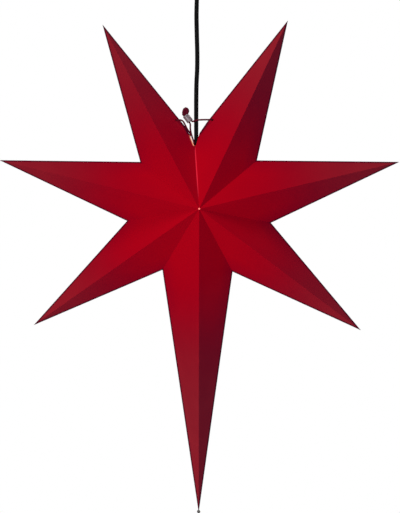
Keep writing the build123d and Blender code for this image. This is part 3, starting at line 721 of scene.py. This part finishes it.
@dataclass(frozen=True)
class PaperPoint:
    """One folded sheet: its ridge and the seams before and after it, in degrees, and its reach."""

    node: str
    ridge: float
    seam_before: float
    seam_after: float
    reach: float = REACH
    paper_mm: float = 0.4
    # The least angle of a crease that stays sharp, in degrees
    crease: float = 14.0
    # The strips that let it buckle, with their cuts a little off the folds
    strip_mm: float = 9.0
    strip_shift_mm: float = 0.1
    # How far it buckles, and how far from a fold and from the middle it does so fully
    buckle_mm: float = 1.1
    held_fold_mm: float = 24.0
    held_middle_mm: float = 60.0
    # Long and short waves, per metre, and steps that keep the panels from buckling alike
    long_wave: float = 14.0
    short_wave: float = 34.0
    short_share: float = 0.4
    ridge_step: float = 0.37
    side_step: float = 3.1
    # The painted lamplight inside beside the slit, which gets dimmer towards a height over the
    # middle
    behind_slit_mm: float = 6.0
    dimmest: float = 0.15
    dimmest_mm: float = 8.0
    dimming_mm: float = 34.0
    # The share of the left lip's height above which its cut edge is dark with painted shade
    shaded_lip_share: float = 0.68

    def dress(self, paper: Material) -> Object:
        """Replaces the plain sheet by one with buckles and the distances that its finish reads.

        Args:
            paper: The paper's material.

        Returns:
            The dressed sheet.
        """
        along = (spot(self.ridge, self.reach) - CENTRE).normalized()
        across = Vector((along.z, 0.0, -along.x))
        sheet = bmesh.new()
        sheet.from_mesh(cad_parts[self.node].data)
        bmesh.ops.remove_doubles(sheet, verts=sheet.verts, dist=WELD)
        self._cut_strips(sheet, along, self.reach)
        self._cut_strips(sheet, across, VALLEY)
        sheet.verts.index_update()
        marks: dict[Mark, list[float]] = {mark: [] for mark in Mark}
        shifts: list[float] = []
        for vert in sheet.verts:
            half = Half.RIGHT if (vert.co - CENTRE).dot(across) > 0 else Half.LEFT
            from_fold = self._from_fold(vert.co, half)
            marks[Mark.FOLD].append(from_fold)
            marks[Mark.SLIT].append(self._from_slit(vert.co))
            marks[Mark.LIP].append(self._from_lip(vert.co))
            marks[Mark.INNER].append(self._lit_inside(vert.co, half))
            shifts.append(self._buckle(vert.co, from_fold, half))
        for vert, shift in zip(sheet.verts, shifts):
            vert.co.y += shift
        mesh = bpy.data.meshes.new(self.node + "_paper")
        sheet.to_mesh(mesh)
        sheet.free()
        for mark, values in marks.items():
            mesh.attributes.new(mark.value, "FLOAT", "POINT").data.foreach_set("value", values)
        mesh.materials.append(paper)
        mesh.shade_smooth()
        mesh.set_sharp_from_angle(angle=math.radians(self.crease))
        return new_piece(self.node + "_paper", mesh, Body.LANTERN, "red_paper", self.node)

    def _cut_strips(self, sheet: bmesh.types.BMesh, normal: Vector, half: float) -> None:
        """Cuts the sheet into strips, so that it can buckle.

        Args:
            sheet: The sheet.
            normal: The direction square to the cuts.
            half: How far from the star's middle the cuts go, both ways.
        """
        count = int(half / (self.strip_mm * MM))
        for index in range(-count, count + 1):
            everything = sheet.verts[:] + sheet.edges[:] + sheet.faces[:]
            cut = CENTRE + normal * (index * self.strip_mm + self.strip_shift_mm) * MM
            bmesh.ops.bisect_plane(sheet, geom=everything, dist=ON_CUT, plane_co=cut,
                                   plane_no=normal)

    def _seam(self, half: Half) -> float:
        """Gives the seam on one side."""
        return self.seam_before if half is Half.LEFT else self.seam_after

    def _corner(self, half: Half) -> Vector:
        """Gives the outline's inner corner on one side."""
        seam = self._seam(half)
        return spot(seam, CLOSING_VALLEY if seam == CLOSING_SEAM else VALLEY)

    def _from_fold(self, place: Vector, half: Half) -> float:
        """Gives the distance to the fold round the outline or to the mouth's cut edge.

        Args:
            place: A place on the sheet.
            half: The half that it lies on.

        Returns:
            The distance in millimetres.
        """
        start = self._corner(half)
        direction = (spot(self.ridge, self.reach) - start).normalized()
        from_fold = (place - start).cross(direction).length / MM
        if self._seam(half) != CLOSING_SEAM:
            return from_fold
        # The mouth's cut edges take the dark fold's painted shade too
        left_cut = (LEFT_LIP, MOUTH_FLOOR.lerp(LEFT_LIP, self.shaded_lip_share))
        cut = left_cut if half is Half.RIGHT else (RIGHT_LIP, NOTCH)
        return min(from_fold, from_line(place, *cut))

    def _from_slit(self, place: Vector) -> float:
        """Gives the distance to the closing seam on the front.

        Args:
            place: A place on the sheet.

        Returns:
            The distance in millimetres, with a sign for the side.
        """
        if CLOSING_SEAM not in (self.seam_before, self.seam_after) or place.y > 0:
            return NO_DISTANCE_MM
        return (place - CENTRE).dot(square_to(CLOSING_SEAM)) / MM

    def _from_lip(self, place: Vector) -> float:
        """Gives the distance to the mouth's left lip on the front, seen square on.

        Args:
            place: A place on the sheet.

        Returns:
            The distance in millimetres.
        """
        if self.seam_after != CLOSING_SEAM or place.y > 0:
            return NO_DISTANCE_MM
        return from_line(place, MOUTH_FLOOR, LEFT_LIP)

    def _lit_inside(self, place: Vector, half: Half) -> float:
        """Gives the share of the painted lamplight on an inner face.

        Args:
            place: A place on the sheet.
            half: The half that it lies on.

        Returns:
            Nothing on an outer face, and all inside; less beside the slit, towards the apex.
        """
        if self._depth_in(place, half) < self.paper_mm / 2:
            return 0.0
        if abs(self._from_slit(place)) > self.behind_slit_mm:
            return 1.0
        rise = ((place.z - CENTRE.z) / MM - self.dimmest_mm) / self.dimming_mm
        return min(1.0, max(self.dimmest, rise))

    def _depth_in(self, place: Vector, half: Half) -> float:
        """Gives how far a place lies inside the panel's outer face.

        Args:
            place: A place on the sheet.
            half: The half that it lies on.

        Returns:
            The depth in millimetres.
        """
        apex = CENTRE + Vector((0.0, HALF_DEPTH if place.y > 0 else -HALF_DEPTH, 0.0))
        tip = spot(self.ridge, self.reach)
        face = (self._corner(half) - apex).cross(tip - apex).normalized()
        return abs((CENTRE - apex).dot(face)) / MM - abs((place - CENTRE).dot(face)) / MM

    def _buckle(self, place: Vector, from_fold: float, half: Half) -> float:
        """Gives how far the paper stands in or out, which is nothing on its folds and its middle.

        Args:
            place: A place on the sheet.
            from_fold: Its distance to the fold round the outline, in millimetres.
            half: The half that it lies on.

        Returns:
            The shift along Y, in metres.
        """
        from_seam = abs((place - CENTRE).dot(square_to(self._seam(half)))) / MM
        from_middle = Vector((place.x - CENTRE.x, place.z - CENTRE.z)).length / MM
        free = (min(1.0, from_fold / self.held_fold_mm) * min(1.0, from_seam / self.held_fold_mm)
                * min(1.0, from_middle / self.held_middle_mm))
        side = -1.0 if place.y < 0 else 1.0
        seed = Vector((self.ridge * self.ridge_step, side * self.side_step, 0.0))
        long_wave = noise.noise(place * self.long_wave + seed)
        short_wave = self.short_share * noise.noise(place * self.short_wave - seed)
        return side * free * (long_wave + short_wave) * self.buckle_mm * MM


@dataclass
class PaperStar:
    """The seven folded sheets."""

    points: tuple[PaperPoint, ...] = (
        PaperPoint("point_upper_right", 25.5, CLOSING_SEAM, 51.5),
        PaperPoint("point_right", 77.5, 51.5, 103.0),
        PaperPoint("point_lower_right", 127.5, 103.0, 153.0),
        PaperPoint("point_bottom", 180.1, 153.0, 210.0, LONG_REACH),
        PaperPoint("point_lower_left", 234.3, 210.0, 258.5),
        PaperPoint("point_left", 283.0, 258.5, 307.0),
        PaperPoint("point_upper_left", 332.0, 307.0, CLOSING_SEAM),
    )
    finish: DyedPaper = DyedPaper()

    def build(self) -> None:
        """Dresses every point."""
        paper = self.finish.build()
        for point in self.points:
            piece = point.dress(paper)
            log.info("%s has %d faces", piece.name, len(piece.data.polygons))


@dataclass
class PendantCord:
    """The free cord from the rose to the lampholder."""

    route: tuple[Triple, ...] = (
        (0.0, 0.0, -46.126), (-2.0, 0.0, -88.0), (-1.5, 0.0, -122.0), (-0.6, 0.0, -152.0),
        (-0.7, 0.0, -176.0), (-2.0, 0.0, -196.0), (-2.3, 0.0, -237.0), (-2.184, 0.0, -303.667))
    diameter: float = 5.8 * MM
    # The hanging run is as thick as the photo shows it, the ends as thick as their bores allow
    seen_diameter: float = 6.4 * MM
    length: float = 0.2577
    # PVC sheath, extruded: nearly black, with one soft light along its middle
    finish: Moulded = Moulded("pvc_sheath", "#040404", "#080708", roughness=0.6, ior=1.52,
                              specular=0.04, grain_mm=0.6, bump=0.14)

    def build(self) -> None:
        """Makes the cord on one smooth spline."""
        points = in_metres(self.route)
        curve = smooth_curve("pendant_cord_sheath", points)
        curve.bevel_depth = self.seen_diameter / 2
        curve.bevel_resolution = 6
        curve.use_fill_caps = True
        controls = curve.splines[0].points
        for end in (controls[0], controls[-1]):
            end.radius = self.diameter / self.seen_diameter
        curve.materials.append(self.finish.build())
        piece = new_piece("pendant_cord_sheath", curve, Body.LANTERN, "black_cord", "pendant_cord")
        log.info("%s follows %d points", piece.name, len(points))


@dataclass
class TieString:
    """The string that draws the two upper points together, with a knot at each end."""

    route: tuple[Triple, ...] = (
        (20.61, -1.2, -246.95), (20.61, -8.0, -246.95), (8.0, -8.0, -246.8), (-3.0, -6.0, -247.4),
        (-8.12, -5.2, -250.54), (-16.8, -5.2, -239.0), (-15.2, -5.6, -236.4), (-14.3, -5.4, -234.1),
        (-16.2, -5.2, -231.4), (-18.7, -4.8, -232.2), (-19.8, -5.0, -236.6),
        (-20.08, -5.2, -239.46), (-10.17, -5.2, -252.14), (-10.9, -5.8, -258.0),
        (-9.6, -5.4, -265.8), (-7.7, -5.4, -272.5), (-5.3, -5.2, -278.8), (-5.6, -4.6, -285.0),
        (-12.4, -2.8, -283.0), (-12.9, -2.6, -273.0), (-9.9, -2.6, -267.2), (-14.6, -5.6, -261.0),
        (-18.6, -5.4, -252.8), (-21.8, -5.6, -247.4), (-30.44, -8.0, -247.18),
        (-30.44, -1.2, -247.18))
    diameter: float = 2.2 * MM
    length: float = 0.1708
    # Two strands: a turn's length and steps, and shares of the diameter for their radius and offset
    pitch: float = 4.2 * MM
    steps: int = 12
    strand: float = 0.46
    offset: float = 0.14
    # The yarn is slack in its loop, where it fluffs up, and tight again a little way from it
    loop_middle: Triple = (-17.1, -5.2, -235.8)
    loop_fullness: float = 2.05
    loop_mm: Span = (5.0, 8.0)
    # A knot's width, the width of its curve before scaling, and its yarn as a share of the diameter
    knot: float = 3.4 * MM
    knot_curve: float = 7.2
    knot_yarn: float = 0.32
    knot_controls: int = 24
    finish: TwistedYarn = TwistedYarn()

    def build(self) -> None:
        """Makes the twisted strands and the knots."""
        yarn = self.finish.build()
        line = put("tie_line", smooth_curve("tie_line", in_metres(self.route)))
        path = plain_mesh("tie_line", line)
        points = [vert.co.copy() for vert in path.vertices]
        strands = grow("tie_string_strands", path, self._twist_tree(), {
            "Strand Radius": self.diameter * self.strand, "Offset": self.diameter * self.offset,
            "Pitch": self.pitch, "Step": self.pitch / self.steps, "Material": yarn,
            "Loop Middle": Vector(self.loop_middle) * MM, "Loop Fullness": self.loop_fullness,
            "Loop Start": self.loop_mm[0] * MM, "Loop End": self.loop_mm[1] * MM})
        piece = new_piece("tie_string_strands", strands, Body.LANTERN, "red_string", "tie_string")
        knots = new_piece("tie_string_knots", self._knots(yarn, (points[0], points[-1])),
                          Body.LANTERN, "red_string")
        log.info("%s has %d faces", piece.name, len(strands.polygons))
        log.info("%s has %d faces", knots.name, len(knots.data.polygons))

    def _twist_tree(self) -> NodeTree:
        """Makes the tree that winds two strands round a line.

        Returns:
            The geometry tree.
        """
        tree, given = start_geometry("two_strand_twist", {
            "Strand Radius": "Float", "Offset": "Float", "Pitch": "Float", "Step": "Float",
            "Loop Middle": "Vector", "Loop Fullness": "Float", "Loop Start": "Float",
            "Loop End": "Float", "Material": "Material"})
        line = add(tree, "GeometryNodeMeshToCurve", {"Mesh": given["Geometry"]})
        fine = add(tree, "GeometryNodeResampleCurve", {"Curve": line, "Length": given["Step"]},
                   mode="LENGTH")
        along = add(tree, "GeometryNodeSplineParameter").outputs["Length"]
        turns = add(tree, "ShaderNodeMath", {0: along, 1: given["Pitch"]}, operation="DIVIDE")
        tangent = add(tree, "GeometryNodeInputTangent")
        from_loop = add(tree, "ShaderNodeVectorMath", {
            0: add(tree, "GeometryNodeInputPosition"), 1: given["Loop Middle"]},
            operation="DISTANCE")
        full = add(tree, "ShaderNodeMapRange", {
            "Value": from_loop, "From Min": given["Loop Start"], "From Max": given["Loop End"],
            "To Min": given["Loop Fullness"], "To Max": 1.0})
        far = add(tree, "ShaderNodeMath", {0: full, 1: given["Offset"]}, operation="MULTIPLY")
        out = add(tree, "ShaderNodeVectorMath", {
            0: add(tree, "GeometryNodeInputNormal"), "Scale": far}, operation="SCALE")
        profile = add(tree, "GeometryNodeCurvePrimitiveCircle", {
            "Resolution": 8, "Radius": given["Strand Radius"]})
        joined = add(tree, "GeometryNodeJoinGeometry")
        for phase in (0.0, math.pi):
            angle = add(tree, "ShaderNodeMath", {0: turns, 1: math.tau, 2: phase},
                        operation="MULTIPLY_ADD")
            offset = add(tree, "ShaderNodeVectorRotate", {
                "Vector": out, "Axis": tangent, "Angle": angle})
            wound = add(tree, "GeometryNodeSetPosition", {"Geometry": fine, "Offset": offset})
            strand = add(tree, "GeometryNodeCurveToMesh", {
                "Curve": wound, "Profile Curve": profile, "Scale": full, "Fill Caps": True})
            feed(tree, joined, {0: strand})
        return end_geometry(tree, joined, given["Material"])

    def _knots(self, yarn: Material, places: Sequence[Vector]) -> Mesh:
        """Makes an overhand knot of the string at each place.

        Args:
            yarn: The yarn's material.
            places: The knots' middles.

        Returns:
            One mesh with all knots.
        """
        curve = bpy.data.curves.new("tie_knot_line", "CURVE")
        curve.dimensions = "3D"
        curve.resolution_u = 4
        curve.bevel_depth = self.diameter * self.knot_yarn
        curve.bevel_resolution = 3
        size = self.knot / self.knot_curve
        for place in places:
            spline = curve.splines.new("NURBS")
            spline.points.add(self.knot_controls - 1)
            for index, control in enumerate(spline.points):
                turn = math.tau * index / self.knot_controls
                bend = Vector((math.sin(turn) + 2 * math.sin(2 * turn), -math.sin(3 * turn),
                               math.cos(turn) - 2 * math.cos(2 * turn)))
                control.co = (*(place + bend * size), 1.0)
            spline.order_u = 4
            spline.use_cyclic_u = True
        mesh = plain_mesh("tie_string_knots", put("tie_knot_line", curve))
        mesh.materials.clear()
        mesh.materials.append(yarn)
        return mesh


@dataclass
class TieBeads:
    """The bead that the string is drawn through, and the small bead on the long tip."""

    # Clear acrylic, tumbled: smoky, with the string showing through
    acrylic: Glassy = Glassy("smoky_acrylic", "#9A8A90", "#85747C", roughness=0.25,
                             transmission=0.4, ior=1.49)
    # Nickel plate: a little dull
    plated: WorkedMetal = WorkedMetal("nickel_plate", "#6A6866", "#383634", roughness=0.16)

    def build(self) -> None:
        """Dresses the beads."""
        dress_nodes(self.acrylic.build(), "tie_bead")
        dress_nodes(self.plated.build(), "tip_bead")


@dataclass(frozen=True)
class GripRibs:
    """A ring of half-round ribs for the fingers, moulded on the outside of a round piece."""

    name: str
    body: Body
    slot: str
    axis_x: float
    top: float
    height: float
    radius: float
    count: int
    rib: float = 0.55 * MM

    def build(self, material: Material) -> None:
        """Makes the ring.

        Args:
            material: The finish of the piece that carries the ribs.
        """
        seed = bpy.data.meshes.new(self.name + "_seed")
        mesh = grow(self.name, seed, self._tree(), {
            "Count": self.count, "Ring Radius": self.radius, "Rib Radius": self.rib,
            "Height": self.height, "Material": material,
            "Middle": Vector((self.axis_x, 0.0, self.top - self.height / 2))})
        piece = new_piece(self.name, mesh, self.body, self.slot)
        log.info("%s has %d ribs", piece.name, self.count)

    def _tree(self) -> NodeTree:
        """Makes the tree that sets ribs round a ring.

        Returns:
            The geometry tree.
        """
        tree, given = start_geometry("grip_ribs", {
            "Count": "Int", "Ring Radius": "Float", "Rib Radius": "Float", "Height": "Float",
            "Middle": "Vector", "Material": "Material"})
        ring = add(tree, "GeometryNodeMeshCircle", {
            "Vertices": given["Count"], "Radius": given["Ring Radius"]})
        ball = add(tree, "GeometryNodeMeshUVSphere", {
            "Segments": 8, "Rings": 7, "Radius": given["Rib Radius"]})
        # A ball's upper and lower half are drawn apart to the rib's height
        tall = add(tree, "ShaderNodeMath", {0: given["Height"], 1: 0.5}, operation="MULTIPLY")
        stretch = add(tree, "ShaderNodeMath", {0: tall, 1: given["Rib Radius"]},
                      operation="SUBTRACT")
        shape = add(tree, "ShaderNodeSeparateXYZ", {0: add(tree, "GeometryNodeInputPosition")})
        end = add(tree, "ShaderNodeMath", {0: shape.outputs["Z"]}, operation="SIGN")
        rise = add(tree, "ShaderNodeMath", {0: end, 1: stretch}, operation="MULTIPLY")
        move = add(tree, "ShaderNodeCombineXYZ", {"Z": rise})
        rib = add(tree, "GeometryNodeSetPosition", {"Geometry": ball, "Offset": move})
        ribs = add(tree, "GeometryNodeInstanceOnPoints", {"Points": ring, "Instance": rib})
        placed = add(tree, "GeometryNodeTransform", {
            "Geometry": ribs, "Translation": given["Middle"]})
        return end_geometry(tree, placed, given["Material"])


@dataclass
class CeilingRose:
    """The rose that holds the cord's upper end."""

    # The ribs of the cap nut: their distance from its top, what they leave free, ring and number
    rib_drop: float = 1.0 * MM
    rib_free: float = 3.4 * MM
    rib_ring: float = 8.5 * MM
    rib_count: int = 28
    # ABS, moulded: black, half matt
    abs_plastic: Moulded = Moulded("black_abs", "#161617", "#222223", roughness=0.42)
    # Soft rubber: black and matt
    rubber: Moulded = Moulded("black_rubber", "#141414", "#1D1D1D", roughness=0.8, grain_mm=0.8)
    # PVC core insulation, extruded: bright and smooth
    live: Moulded = Moulded("brown_pvc", "#5A3016", "#6B3D20", roughness=0.4)
    neutral: Moulded = Moulded("blue_pvc", "#1E4E9A", "#2B5CA8", roughness=0.4)
    # Zinc-plated sheet steel: cool grey with dull patches
    zinc: WorkedMetal = WorkedMetal("zinc_plated_steel", "#B4B6B8", "#8F9296", roughness=0.35)
    # Polyamide: off-white and waxy
    polyamide: Moulded = Moulded("white_polyamide", "#E6E3DA", "#D8D4C8", roughness=0.45)
    # Turned brass: warm, with tool lines
    brass: WorkedMetal = WorkedMetal("turned_brass", "#B98B45", "#9A7136")

    def build(self) -> None:
        """Dresses the rose, with the holder's parts of like make, and adds its cap nut's ribs."""
        black = self.abs_plastic.build()
        dress_nodes(black, "canopy", "cord_gland", "gland_nut", "gland_cap")
        dress_nodes(self.rubber.build(), "gland_bush", "canopy_lead")
        dress_nodes(self.live.build(), "live_core")
        dress_nodes(self.neutral.build(), "neutral_core", "holder_wires")
        dress_nodes(self.zinc.build(), "ceiling_bracket", "canopy_screws", "block_screw",
                    "terminal_screws")
        dress_nodes(self.polyamide.build(), "terminal_block")
        dress_nodes(self.brass.build(), "terminal_sleeves", "thread_shell", "centre_contact",
                    "holder_screws")
        low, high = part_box("gland_cap")
        ribs = GripRibs("gland_cap_ribs", Body.CEILING, "black_plastic", axis_x=0.0,
                        top=high[2] - self.rib_drop, height=high[2] - low[2] - self.rib_free,
                        radius=self.rib_ring, count=self.rib_count)
        ribs.build(black)


@dataclass
class LampHolder:
    """The lampholder that the star rests on."""

    # The ribs of the sleeve: their top over its lower end, height, ring and number
    rib_top: float = 22.0 * MM
    rib_height: float = 16.0 * MM
    rib_ring: float = 14.5 * MM
    rib_count: int = 40
    # Phenolic resin, pressed: black with a faint gloss
    phenolic: Moulded = Moulded("black_phenolic", "#141415", "#202021", roughness=0.36)
    # Steatite: off-white and dry
    steatite: Moulded = Moulded("steatite", "#E4DFD2", "#D6CFBE", roughness=0.6, grain_mm=0.4)

    def build(self) -> None:
        """Dresses the holder and adds its grip ribs."""
        black = self.phenolic.build()
        dress_nodes(black, "holder_cap", "holder_sleeve", "grip_screw")
        dress_nodes(self.steatite.build(), "holder_core")
        low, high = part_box("holder_sleeve")
        ribs = GripRibs("holder_sleeve_ribs", Body.LANTERN, "black_plastic",
                        axis_x=(low[0] + high[0]) / 2, top=low[2] + self.rib_top,
                        height=self.rib_height, radius=self.rib_ring, count=self.rib_count)
        ribs.build(black)


@dataclass
class BallLamp:
    """The lamp: a frosted ball with a screw cap."""

    # The cap's thread: its crest's radius, how deep it sits in the cap, and where it starts
    axis_x: float = -2.184 * MM
    pitch: float = 2.82 * MM
    turns: float = 5.5
    crest: float = 0.28 * MM
    sunk: float = 0.1 * MM
    start: float = 2.6 * MM
    # Rolled nickel-plated brass: warm grey
    nickel: WorkedMetal = WorkedMetal("rolled_nickel", "#B8B2A2", "#9C968A", roughness=0.25)
    # Fused black glass: deep and glossy
    fused: Moulded = Moulded("fused_black_glass", "#141418", "#1E1E24", roughness=0.12, bump=0.03)
    # Solder: soft grey
    solder: WorkedMetal = WorkedMetal("solder", "#B4B6B8", "#8F9296", roughness=0.4)
    # Etched glass: an even warm light
    frosted: Glassy = Glassy("etched_glass", "#FFE9D8", "#FFDDC4", roughness=0.4, transmission=0.0,
                             glow="#F2A898", glow_patch="#E08878", glow_strength=1.0)
    # Drawn glass: clear
    clear: Glassy = Glassy("drawn_glass", "#F2F4F0", "#E8ECE8")
    # Lit filament: yellow-white
    filament: Glassy = Glassy("lit_filament", "#E8B070", "#D09850", roughness=0.5, transmission=0.0,
                              glow="#FFC070", glow_patch="#FFA848", glow_strength=1.5)

    def build(self) -> None:
        """Dresses the lamp and adds the thread of its cap."""
        nickel = self.nickel.build()
        dress_nodes(nickel, "bulb_cap")
        dress_nodes(self.fused.build(), "bulb_insulator")
        dress_nodes(self.solder.build(), "bulb_contact")
        dress_nodes(self.frosted.build(), "bulb_globe")
        dress_nodes(self.clear.build(), "bulb_stem")
        dress_nodes(self.filament.build(), "bulb_filament")
        low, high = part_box("bulb_cap")
        seed = bpy.data.meshes.new("bulb_cap_thread_seed")
        thread = grow("bulb_cap_thread", seed, self._thread_tree(), {
            "Turns": self.turns, "Radius": (high[0] - low[0]) / 2 - self.sunk,
            "Pitch": self.pitch, "Crest": self.crest, "Material": nickel,
            "Start": Vector((self.axis_x, 0.0, low[2] + self.start))})
        piece = new_piece("bulb_cap_thread", thread, Body.BULB, "nickel_cap")
        log.info("%s has %d faces", piece.name, len(thread.polygons))

    def _thread_tree(self) -> NodeTree:
        """Makes the tree that rolls a thread round the cap.

        Returns:
            The geometry tree.
        """
        tree, given = start_geometry("rolled_thread", {
            "Turns": "Float", "Radius": "Float", "Pitch": "Float", "Crest": "Float",
            "Start": "Vector", "Material": "Material"})
        rise = add(tree, "ShaderNodeMath", {0: given["Turns"], 1: given["Pitch"]},
                   operation="MULTIPLY")
        helix = add(tree, "GeometryNodeCurveSpiral", {
            "Resolution": 40, "Rotations": given["Turns"], "Height": rise,
            "Start Radius": given["Radius"], "End Radius": given["Radius"]})
        crest = add(tree, "GeometryNodeCurvePrimitiveCircle", {
            "Resolution": 8, "Radius": given["Crest"]})
        rolled = add(tree, "GeometryNodeCurveToMesh", {
            "Curve": helix, "Profile Curve": crest, "Fill Caps": True})
        placed = add(tree, "GeometryNodeTransform", {
            "Geometry": rolled, "Translation": given["Start"]})
        return end_geometry(tree, placed, given["Material"])


@dataclass(frozen=True)
class SoftBox:
    """A round soft box: its way from the star's middle, its width and its power."""

    name: str
    away: Triple
    width: float
    power: float

    def build(self) -> None:
        """Adds the lamp, looking at the star's middle."""
        data = bpy.data.lights.new(self.name, "AREA")
        data.shape = "DISK"
        data.size = self.width
        data.energy = self.power
        put(self.name, data).matrix_world = looking_at(CENTRE, Vector(self.away))


@dataclass
class Studio:
    """Camera, soft light, pale floor and white background."""

    target_mm: Triple = (3.15, 0.0, -441.8)
    distance: float = 2.8
    elevation: float = 4.0
    view_width: float = 0.5714
    boxes: tuple[SoftBox, ...] = (
        SoftBox("front_box", (-1.69, -3.63, 0.0), 2.0, 130.0),
        SoftBox("top_box", (0.0, -1.88, 3.53), 2.0, 63.0),
        SoftBox("back_box", (1.5, 1.9, 0.4), 1.6, 46.0),
    )
    room: str = "#F6F4F4"
    room_light: float = 0.05
    floor_drop: float = 1.6
    floor_radius: float = 1.2
    # Matt paint on board: pale, with no gloss
    paint: Moulded = Moulded("pale_matt_paint", "#E9E8E6", "#E4E3E1", roughness=0.9, grain_mm=3.0)

    def build(self) -> None:
        """Sets up the whole studio."""
        bpy.context.scene.view_settings.view_transform = "Standard"
        self._camera()
        self._world()
        for box in self.boxes:
            box.build()
        self._floor()

    def _camera(self) -> None:
        """Places the camera in front of the star, a little above its middle."""
        data = bpy.data.cameras.new("camera")
        data.sensor_fit = "HORIZONTAL"
        data.lens = data.sensor_width * self.distance / self.view_width
        rise = math.radians(self.elevation)
        away = Vector((0.0, -math.cos(rise), math.sin(rise))) * self.distance
        camera = put("camera", data)
        camera.matrix_world = looking_at(Vector(self.target_mm) * MM, away)
        bpy.context.scene.camera = camera

    def _world(self) -> None:
        """Makes a dim even room that looks white to the camera, in metal and through glass."""
        world = bpy.data.worlds.new("white_room")
        world.use_nodes = True
        bpy.context.scene.world = world
        tree = world.node_tree
        tree.nodes.clear()
        rays = add(tree, "ShaderNodeLightPath")
        mirrored = add(tree, "ShaderNodeMath", {
            0: rays.outputs["Is Glossy Ray"], 1: rays.outputs["Is Transmission Ray"]},
            operation="MAXIMUM")
        seen = add(tree, "ShaderNodeMath", {0: rays.outputs["Is Camera Ray"], 1: mirrored},
                   operation="MAXIMUM")
        soft = add(tree, "ShaderNodeBackground", {
            "Color": linear(self.room), "Strength": self.room_light})
        white = add(tree, "ShaderNodeBackground", {"Color": linear("#FFFFFF"), "Strength": 1.0})
        mixed = add(tree, "ShaderNodeMixShader", {0: seen, 1: soft, 2: white})
        add(tree, "ShaderNodeOutputWorld", {"Surface": mixed})

    def _floor(self) -> None:
        """Lays a pale floor far below the star."""
        disc = bmesh.new()
        bmesh.ops.create_circle(disc, cap_ends=True, segments=96, radius=self.floor_radius)
        mesh = bpy.data.meshes.new("floor")
        disc.to_mesh(mesh)
        disc.free()
        mesh.transform(Matrix.Translation((0.0, 0.0, -self.floor_drop)))
        mesh.materials.append(self.paint.build())
        put("floor", mesh)


def main() -> None:
    """Builds the scene."""
    logging.basicConfig(level=logging.INFO)
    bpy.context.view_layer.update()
    for group in (PendantCord(), TieString(), PaperStar(), TieBeads(), CeilingRose(), LampHolder(),
                  BallLamp(), Studio()):
        group.build()


if __name__ == "__main__":
    main()
